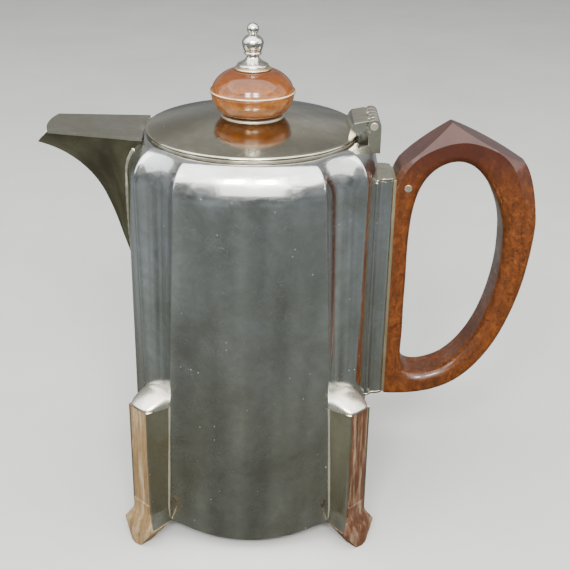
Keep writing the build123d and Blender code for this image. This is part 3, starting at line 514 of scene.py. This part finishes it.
def pierce(piece):
    """Strainer holes behind the spout."""
    cutters = bmesh.new()
    for row in range(STRAINER_ROWS):
        z = STRAINER_LOW_Z + STRAINER_PITCH * row * 0.87
        share = (z - SPOUT_FOOT_Z) / (COVER_ROOT_Z - SPOUT_FOOT_Z)
        reach = COVER_ROOT_HALF * share - STRAINER_R - STRAINER_MARGIN
        start = (row % 2) * STRAINER_PITCH / 2.0
        spots = []
        while start + STRAINER_PITCH * len(spots) <= reach:
            spots.append(start + STRAINER_PITCH * len(spots))
        for y in sorted(set(spots + [-s for s in spots])):
            place = Matrix.Translation(to_row(-BOW_REACH, y, z)) @ Matrix.Rotation(math.pi / 2, 4, "Y")
            bmesh.ops.create_cone(cutters, cap_ends=True, segments=24, radius1=STRAINER_R / 1000,
                                  radius2=STRAINER_R / 1000, depth=0.012, matrix=place)
    mesh = bpy.data.meshes.new("strainer_cut")
    cutters.to_mesh(mesh)
    cutters.free()
    tool = bpy.data.objects.new("strainer_cut", mesh)
    bpy.context.scene.collection.objects.link(tool)
    modifier = piece.modifiers.new("strainer", "BOOLEAN")
    modifier.operation = "DIFFERENCE"
    modifier.solver = "EXACT"
    modifier.object = tool
    bpy.context.view_layer.update()
    result = bpy.data.meshes.new_from_object(piece.evaluated_get(bpy.context.evaluated_depsgraph_get()))
    piece.modifiers.clear()
    piece.data = result
    bpy.data.objects.remove(tool)


points, faces = body_mesh()
wall = piece_from("body_fine", points, faces, "pot", body_silver, ["body_wall"], crease=40)
pierce(wall)


# ---------------------------------------------------------------- spout
def keel_z(x):
    """Height of the spout's lower ridge."""
    for (xa, za), (xb, zb) in zip(KEEL_FINE, KEEL_FINE[1:]):
        if xa <= x <= xb:
            return za + (zb - za) * (x - xa) / (xb - xa)
    return KEEL_FINE[-1][1] if x > KEEL_FINE[-1][0] else KEEL_FINE[0][1]


def body_front(y, z):
    """x of the body's outer face on the spout side."""
    x = BOW_R - BOW_REACH - math.sqrt(BOW_R ** 2 - y * y)
    if z > SHOULDER_Z:
        full = math.hypot(x, y)
        lift = min(1.0, (z - SHOULDER_Z) / (MOUTH_Z - SHOULDER_Z))
        r = MOUTH_R + (full - MOUTH_R) * math.sqrt(1 - lift * lift)
        x = x * r / full
    return x


def root_of(function, a, b):
    """Where the function changes sign between a and b, by halving."""
    for _ in range(48):
        middle = (a + b) / 2
        if (function(a) > 0) == (function(middle) > 0):
            a = middle
        else:
            b = middle
    return (a + b) / 2


KEEL_FINE = curve_through(KEEL, 400)


def spout_point(x, v, side, inset):
    """Point of one spout side: v runs from the keel (0) to the cover (1)."""
    part = (x - COVER_TIP_X) / (COVER_ROOT_X - COVER_TIP_X)
    top = COVER_TIP_Z + (COVER_ROOT_Z - COVER_TIP_Z) * part - COVER_THICK
    half = COVER_TIP_HALF + (COVER_ROOT_HALF - COVER_TIP_HALF) * part - inset * 1.25
    keel = keel_z(x) + inset * 2.0
    return (x, side * v * half, keel + (top - keel) * v)


def flared(point, side, v, inset):
    """Turns the outer face outwards into a small solder fillet against the body."""
    x, y, z = point
    gap = body_front(y, z) - x
    if inset or gap >= FILLET or v < 0.02:
        return point
    depth = FILLET - max(gap, 0.0)
    fade = max(0.0, min(1.0, (SHOULDER_Z - z) / 5.0)) * min(1.0, v / 0.25)
    out = fade * (FILLET - math.sqrt(max(FILLET ** 2 - depth ** 2, 0.0)))
    return (x, y + side * out * 0.95, z - out * 0.30)


def spout_mesh():
    slope = (COVER_TIP_Z - LIP_Z) / (COVER_TIP_X - LIP_X)
    across, along = 16, 44
    grids = []
    for inset in (0.0, SPOUT_WALL):
        grid = []
        for i in range(-across, across + 1):
            v, side = abs(i) / across, (-1 if i < 0 else 1)

            def above_mouth(x):
                return spout_point(x, v, side, inset)[2] - (LIP_Z + slope * (x - LIP_X))

            def beyond(x):
                p = spout_point(x, v, side, inset)
                return p[0] - body_front(p[1], p[2]) - 0.5

            start, end = root_of(above_mouth, -85.0, -70.0), root_of(beyond, -70.0, -40.5)
            line = []
            for k in range(along + 1):
                u = 1.0 - (1.0 - k / along) ** 2.2
                line.append(flared(spout_point(start + (end - start) * u, v, side, inset), side, v, inset))
            grid.append(line)
        grids.append(grid)
    wide, long = 2 * across + 1, along + 1
    points = [p for grid in grids for line in grid for p in line]

    def at(layer, i, k):
        return layer * wide * long + i * long + k

    faces = []
    for layer in (0, 1):
        for i in range(wide - 1):
            for k in range(long - 1):
                faces.append((at(layer, i, k), at(layer, i + 1, k),
                              at(layer, i + 1, k + 1), at(layer, i, k + 1)))
    for i in range(wide - 1):
        for k in (0, long - 1):
            faces.append((at(0, i, k), at(0, i + 1, k), at(1, i + 1, k), at(1, i, k)))
    for k in range(long - 1):
        for i in (0, wide - 1):
            faces.append((at(0, i, k), at(0, i, k + 1), at(1, i, k + 1), at(1, i, k)))
    return points, faces


points, faces = spout_mesh()
piece_from("spout_fine", points, faces, "pot", spout_silver, ["spout_walls"],
           crease=40, bevel=0.22)
# The cover's turned-down root is flattened to the plate's underside.
refined("spout_cover", "pot", cover_silver, bevel=0.34, floor_z=COVER_ROOT_Z - COVER_THICK)


# ---------------------------------------------------------------- lid, collar and knob
def dome_z(r, thin=0.0):
    """Height of the lid's upper face, or of the face the given thickness below it."""
    rise = LID_CROWN - LID_EDGE_TOP
    radius = ((LID_R - 0.5) ** 2 + rise ** 2) / (2 * rise)
    return LID_CROWN - radius + math.sqrt((radius - thin) ** 2 - r * r)


collar = [(37.4, 155.0), (38.35, 155.0), (38.35, 160.9), (40.3, 160.9), (40.3, 161.5), (37.4, 161.5)]
lathe("collar_fine", softened(collar, 0.25), "pot", inner_silver, ["mouth_collar"])

dome = [(2.05, dome_z(2.05))] + [(r, dome_z(r)) for r in (4, 8, 12, 16, 20, 24, 28, 32, 35, 38, 39.6, 40.3)]
dome += [(40.72, 162.86), (40.93, 162.62), (41.0, 162.3), (41.0, 161.9), (40.9, 161.68), (40.7, 161.6)]
dome += [(38.0, 161.6), (35.6, 161.6), (35.4, 161.8)]
dome += [(35.4, dome_z(35.4, thin=LID_THICK))]
dome += [(r, dome_z(r, thin=LID_THICK)) for r in (34, 30, 25, 20, 15, 10, 5, 2.05)]
lathe("lid_fine", dome, "lid", lid_silver, ["lid_dome"], segments=256)

flange = [(35.9, 156.9), (36.8, 156.9), (36.8, 161.6), (35.9, 161.6)]
lathe("flange_fine", softened(flange, 0.3), "lid", inner_silver, ["lid_flange"])

seat = [(2.05, 168.3), (10.2, 168.3), (10.7, 168.22), (11.2, 168.0), (11.7, 167.85), (12.05, 167.65),
        (12.2, 167.4), (12.2, dome_z(12.2)), (7.0, dome_z(7.0)), (2.05, dome_z(2.05))]
lathe("seat_fine", seat, "lid", inner_silver, ["knob_seat_ring"], crease=50)

bulb = curve_through([(11.2, 168.3), (12.6, 169.0), (14.0, 170.6), (15.2, 172.6), (15.75, 174.7),
                      (15.8, 175.5)], 22)
bulb += [(15.85, 175.72), (16.08, 175.95), (16.25, 176.25), (16.3, 176.6), (16.25, 176.95), (16.05, 177.2)]
bulb += curve_through([(15.8, 177.4), (15.4, 178.0), (14.6, 179.8), (13.0, 181.7), (10.9, 183.3),
                       (8.4, 184.4), (7.0, 184.7)], 24)
bulb += [(2.05, 184.7), (2.05, 168.3)]
lathe("knob_fine", bulb, "lid", knob_timber, ["knob_bulb"], crease=60)

washer = [(2.05, 184.7), (6.8, 184.7), (7.1, 185.1), (6.9, 185.5), (6.2, 185.8), (2.05, 185.8)]
lathe("washer_fine", softened(washer, 0.25), "lid", brass, ["finial_washer"], crease=60)

urn = curve_through([(5.4, 187.0), (4.4, 187.5), (3.4, 188.2), (2.6, 189.0), (2.35, 189.6), (2.6, 190.1),
                     (3.2, 190.5), (3.35, 191.0), (3.1, 191.4), (3.35, 191.9), (3.75, 192.9), (4.05, 194.2),
                     (4.0, 195.2), (3.5, 196.3), (2.6, 197.1), (1.75, 197.6)], 110)
ball = [(2.25 * math.cos(a), 199.75 + 2.25 * math.sin(a))
        for a in (math.radians(d) for d in range(-53, 89, 6))]
top = [(0.0, 185.8), (5.75, 185.8), (5.95, 185.95), (6.02, 186.3), (5.9, 186.65)]
lathe("finial_fine", top + urn + ball + [(0.0, 202.0)], "lid", finial_silver,
      ["finial"], segments=96, crease=60)

node_low, node_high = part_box("knob_stud")
stud = [(0.0, node_low.z * 1000), (1.7, node_low.z * 1000), (2.0, node_low.z * 1000 + 0.3),
        (2.0, node_high.z * 1000), (0.0, node_high.z * 1000)]
lathe("stud_fine", stud, "lid", brass, ["knob_stud"], segments=48)
refined("knob_under_washer", "lid", brass, bevel=0.15)
refined("knob_nut", "lid", brass, bevel=0.25)

# ---------------------------------------------------------------- leg caps and solder seams
def turned_by(point, degrees):
    """Turned about the vessel axis."""
    c, s = math.cos(math.radians(degrees)), math.sin(math.radians(degrees))
    return (point[0] * c - point[1] * s, point[0] * s + point[1] * c, point[2])


def cap_mesh(degrees):
    """Domed cap that slopes outwards and is rounded at its outer end."""
    back, nose, along, across = 48.6, LEG_FACE_X + 0.35, 26, 28
    points, faces = [], []
    for i in range(along + 1):
        t = math.sin(i / along * math.pi / 2)
        half = LEG_ROOT_HALF + (LEG_FACE_HALF - LEG_ROOT_HALF) * t + 0.25
        half *= max(1 - t ** 7, 0.0) ** (1 / 3.5)
        crown = 1.0 + (CAP_RISE - 1.0) * (1 - t ** 2.2) - 1.2 * max(0.0, 1 - t / 0.35) ** 2
        for j in range(across + 1):
            a = math.pi * j / across
            z = LEG_TOP + crown * max(math.sin(a), 0.0) ** 0.72
            points.append(turned_by((back + (nose - back) * t, half * math.cos(a), z), degrees))
    wide = across + 1
    for i in range(along):
        for j in range(across):
            a = i * wide + j
            faces.append((a, a + 1, a + wide + 1, a + wide))
        faces.append((i * wide, i * wide + wide, i * wide + 2 * wide - 1, i * wide + wide - 1))
    faces.append(tuple(range(wide)))
    return points, faces


def outline_radius(turn, z):
    """Distance from the vessel axis to the body's outer face in one direction."""
    up = z / SHOULDER_Z
    ring = [(g[0] + (n[0] - g[0]) * up, g[1] + (n[1] - g[1]) * up) for n, g in zip(NECK, GROUND)]
    dx, dy = math.cos(turn), math.sin(turn)
    for (ax, ay), (bx, by) in zip(ring, ring[1:] + ring[:1]):
        side_a, side_b = dx * ay - dy * ax, dx * by - dy * bx
        if side_a <= 0 < side_b and dx * ax + dy * ay > 0:
            part = side_a / (side_a - side_b)
            return dx * (ax + (bx - ax) * part) + dy * (ay + (by - ay) * part)
    return 50.0


def seam_line(side):
    """Where one side of a leg channel meets the body, in the frame of the leg at 45 degrees."""
    line = []
    for step in range(9):
        z = 8.2 + (LEG_TOP - 8.4) * step / 8
        share = max(0.0, (z - 14.0) / (LEG_TOP - 14.0))
        root = LEG_ROOT_LOW + (LEG_ROOT_HALF - LEG_ROOT_LOW) * share

        def outside(x):
            y = side * (root + (LEG_FACE_HALF - root) * (x - LEG_ROOT_X) / (LEG_FACE_X - LEG_ROOT_X))
            return math.hypot(x, y) - outline_radius(math.pi / 4 + math.atan2(y, x), z)

        x = root_of(outside, 44.0, 60.0)
        y = side * (root + (LEG_FACE_HALF - root) * (x - LEG_ROOT_X) / (LEG_FACE_X - LEG_ROOT_X))
        line.append((x, y, z))
    return line


def add_bead(points, faces, line, radius, phase):
    """Closed, slightly uneven tube of solder along a line."""
    around = 10
    first = len(points)
    for i, centre in enumerate(line):
        along = (line[min(i + 1, len(line) - 1)] - line[max(i - 1, 0)]).normalized()
        across = along.cross(Vector((1, 0, 0))).normalized()
        over = across.cross(along)
        swell = radius * (1.0 + 0.18 * math.sin(centre.z * 1.7 + phase))
        for k in range(around):
            a = 2 * math.pi * k / around
            points.append(centre + across * swell * math.cos(a) + over * swell * math.sin(a))
    for i in range(len(line) - 1):
        for k in range(around):
            j = (k + 1) % around
            a = first + i * around
            faces.append((a + k, a + j, a + around + j, a + around + k))
    faces.append(tuple(first + k for k in range(around)))
    faces.append(tuple(first + (len(line) - 1) * around + k for k in range(around)))


def leg_seam_mesh():
    """Solder down each side of each leg channel."""
    points, faces = [], []
    for side in (-1, 1):
        for degrees in LEG_ANGLES.values():
            line = [Vector(turned_by(point, degrees)) for point in seam_line(side)]
            add_bead(points, faces, line, 0.42, degrees + side)
    return points, faces


def spout_seam_mesh():
    """Solder down each side of the spout, where its wall meets the body."""
    points, faces = [], []
    for side in (-1, 1):
        line = []
        for step in range(37):
            v = 0.05 + 0.89 * step / 36

            def beyond(x):
                p = spout_point(x, v, side, 0.0)
                return p[0] - body_front(p[1], p[2])

            at_body = spout_point(root_of(beyond, -70.0, -40.5), v, side, 0.0)
            line.append(Vector(flared(at_body, side, v, 0.0)))
        add_bead(points, faces, line, 0.5, side)
    return points, faces


points, faces = leg_seam_mesh()
piece_from("leg_solder_seams", points, faces, "pot", seam_silver, [], crease=60)
points, faces = spout_seam_mesh()
piece_from("spout_solder_seams", points, faces, "pot", seam_silver, [], crease=60)

# ---------------------------------------------------------------- the rest, from the CAD nodes
refined("base_plate", "pot", inner_silver, bevel=0.0)
for place, degrees in LEG_ANGLES.items():
    refined("leg_channel_" + place, "pot", trim_silver, bevel=0.22)
    points, faces = cap_mesh(degrees)
    piece_from("leg_cap_" + place + "_fine", points, faces, "pot", cap_silver,
               ["leg_cap_" + place], crease=50)
    # The left feet take the paler copy of the foot timber, whose extra paleness is painted glare.
    timber = glare_lit_foot_timber if place.endswith("left") else foot_timber
    refined("foot_insert_" + place, "pot", timber, bevel=0.3)
for node, body, material, slot_name, crease, bevel in (
        ("handle_mount", "pot", body_silver, "silver_plate", 30, 0.2),
        ("mount_cap_top", "pot", trim_silver, "silver_plate", 30, 0.2),
        ("mount_cap_bottom", "pot", trim_silver, "silver_plate", 30, 0.2),
        ("handle_back_plate", "pot", brass, "silver_plate", 30, 0.2),
        ("handle_wood", "pot", handle_timber, "handle_wood", 28, 0.35),
        ("handle_pin", "pot", pin_metal, "nickel_pin", 30, 0.15),
        ("hinge_body_leaf", "pot", lit_hinge_silver, "silver_plate", 30, 0.22),
        ("hinge_lid_leaf", "lid", lit_hinge_silver, "silver_plate", 30, 0.26),
        ("hinge_pin", "pot", pin_metal, "silver_plate", 30, 0.15)):
    refined(node, body, material, crease=crease, bevel=bevel)


# ---------------------------------------------------------------- stage, light and camera
def floor():
    """Pale floor that lights the pot from below but isn't mirrored in its metal."""
    t = Tree("pale_floor")
    tone = t.ramp(t.noise(9.0, 6.0, 0.6), (0.3, (0.42, 0.42, 0.41)), (0.7, (0.47, 0.47, 0.46)))
    material = t.shade(Base_Color=tone, Roughness=0.75)
    mesh = bpy.data.meshes.new("floor")
    mesh.from_pydata([(-6, -6, 0), (6, -6, 0), (6, 6, 0), (-6, 6, 0)], [], [(0, 1, 2, 3)])
    mesh.materials.append(material)
    plane = bpy.data.objects.new("floor", mesh)
    plane.location.z = -0.0002
    plane.visible_glossy = False
    bpy.context.scene.collection.objects.link(plane)


def area_light(name, place, target, size_x, size_y, power, colour=(1.0, 1.0, 1.0)):
    light = bpy.data.lights.new(name, "AREA")
    light.shape = "RECTANGLE"
    light.size, light.size_y = size_x, size_y
    light.energy = power
    light.color = colour
    holder = bpy.data.objects.new(name, light)
    holder.location = place
    aim = Vector(target) - Vector(place)
    holder.rotation_euler = aim.to_track_quat("-Z", "Y").to_euler()
    bpy.context.scene.collection.objects.link(holder)


# Colours of the room from straight below (0) to straight above (1).
ROOM_TONES = ((0.0, (0.10, 0.10, 0.085)), (0.23, (0.16, 0.162, 0.130)), (0.37, (0.29, 0.325, 0.335)),
              (0.47, (0.17, 0.18, 0.19)), (0.57, (0.34, 0.35, 0.36)), (0.74, (0.42, 0.42, 0.41)),
              (1.0, (0.55, 0.56, 0.58)))


def studio_world():
    """Dim room with soft, uneven light, darkest below the horizon."""
    world = bpy.data.worlds.new("studio")
    world.use_nodes = True
    tree = world.node_tree
    tree.nodes.clear()
    place = tree.nodes.new("ShaderNodeTexCoord")
    split = tree.nodes.new("ShaderNodeSeparateXYZ")
    tree.links.new(place.outputs["Generated"], split.inputs[0])
    ramp = tree.nodes.new("ShaderNodeValToRGB")
    span = tree.nodes.new("ShaderNodeMapRange")
    span.inputs[1].default_value, span.inputs[2].default_value = -1.0, 1.0
    tree.links.new(split.outputs[2], span.inputs[0])
    tree.links.new(span.outputs[0], ramp.inputs[0])
    elements = ramp.color_ramp.elements
    while len(elements) < len(ROOM_TONES):
        elements.new(0.5)
    for element, (at, colour) in zip(elements, ROOM_TONES):
        element.position = at
        element.color = (*colour, 1.0)
    drift = tree.nodes.new("ShaderNodeTexNoise")
    drift.inputs["Scale"].default_value = 3.4
    drift.inputs["Detail"].default_value = 1.5
    tree.links.new(place.outputs["Generated"], drift.inputs["Vector"])
    level = tree.nodes.new("ShaderNodeMapRange")
    for socket, value in zip(level.inputs[1:5], (0.36, 0.64, 0.62, 1.38)):
        socket.default_value = value
    tree.links.new(drift.outputs["Fac"], level.inputs[0])
    shader = tree.nodes.new("ShaderNodeBackground")
    tree.links.new(level.outputs[0], shader.inputs[1])
    tree.links.new(ramp.outputs[0], shader.inputs[0])
    out = tree.nodes.new("ShaderNodeOutputWorld")
    tree.links.new(shader.outputs[0], out.inputs[0])
    bpy.context.scene.world = world


floor()
studio_world()
area_light("overhead", (-0.05, -0.34, 1.05), (0, 0, 0.13), 2.3, 1.5, 44.0, (1.0, 0.995, 0.98))
area_light("front", (0.0, -1.15, 0.55), (0, 0, 0.13), 0.9, 0.72, 8.5, (1.0, 0.99, 0.97))
area_light("left", (-1.2, -0.1, 0.72), (0, 0, 0.13), 1.2, 1.0, 8.5, (0.96, 0.98, 1.0))
area_light("right", (1.2, -0.1, 0.72), (0, 0, 0.13), 1.2, 1.0, 8.5, (1.0, 0.98, 0.95))
area_light("key_left", (-0.20, -0.80, 0.70), (0, 0, 0.15), 0.18, 0.18, 8.0, (1.0, 1.0, 0.98))
area_light("key_right", (0.14, -0.80, 0.70), (0, 0, 0.15), 0.18, 0.18, 8.0, (1.0, 1.0, 0.98))

CAMERA_PLACE, CAMERA_LENS_MM, SENSOR_WIDTH_MM = (-0.00478, -0.39709, 0.27932), 67.27, 36.0
yaw, pitch, roll = math.radians(-0.562), math.radians(24.811), math.radians(0.980)
ahead = Vector((-math.sin(yaw) * math.cos(pitch), math.cos(yaw) * math.cos(pitch), -math.sin(pitch)))
level_right = Vector((math.cos(yaw), math.sin(yaw), 0.0))
level_up = level_right.cross(ahead)
right = math.cos(roll) * level_right + math.sin(roll) * level_up
up = -math.sin(roll) * level_right + math.cos(roll) * level_up
camera_data = bpy.data.cameras.new("camera")
camera_data.sensor_fit = "HORIZONTAL"
camera_data.sensor_width = SENSOR_WIDTH_MM
camera_data.lens = CAMERA_LENS_MM
camera = bpy.data.objects.new("camera", camera_data)
turn = Matrix((right, up, -ahead)).transposed().to_4x4()
camera.matrix_world = Matrix.Translation(CAMERA_PLACE) @ turn
bpy.context.scene.collection.objects.link(camera)
bpy.context.scene.camera = camera
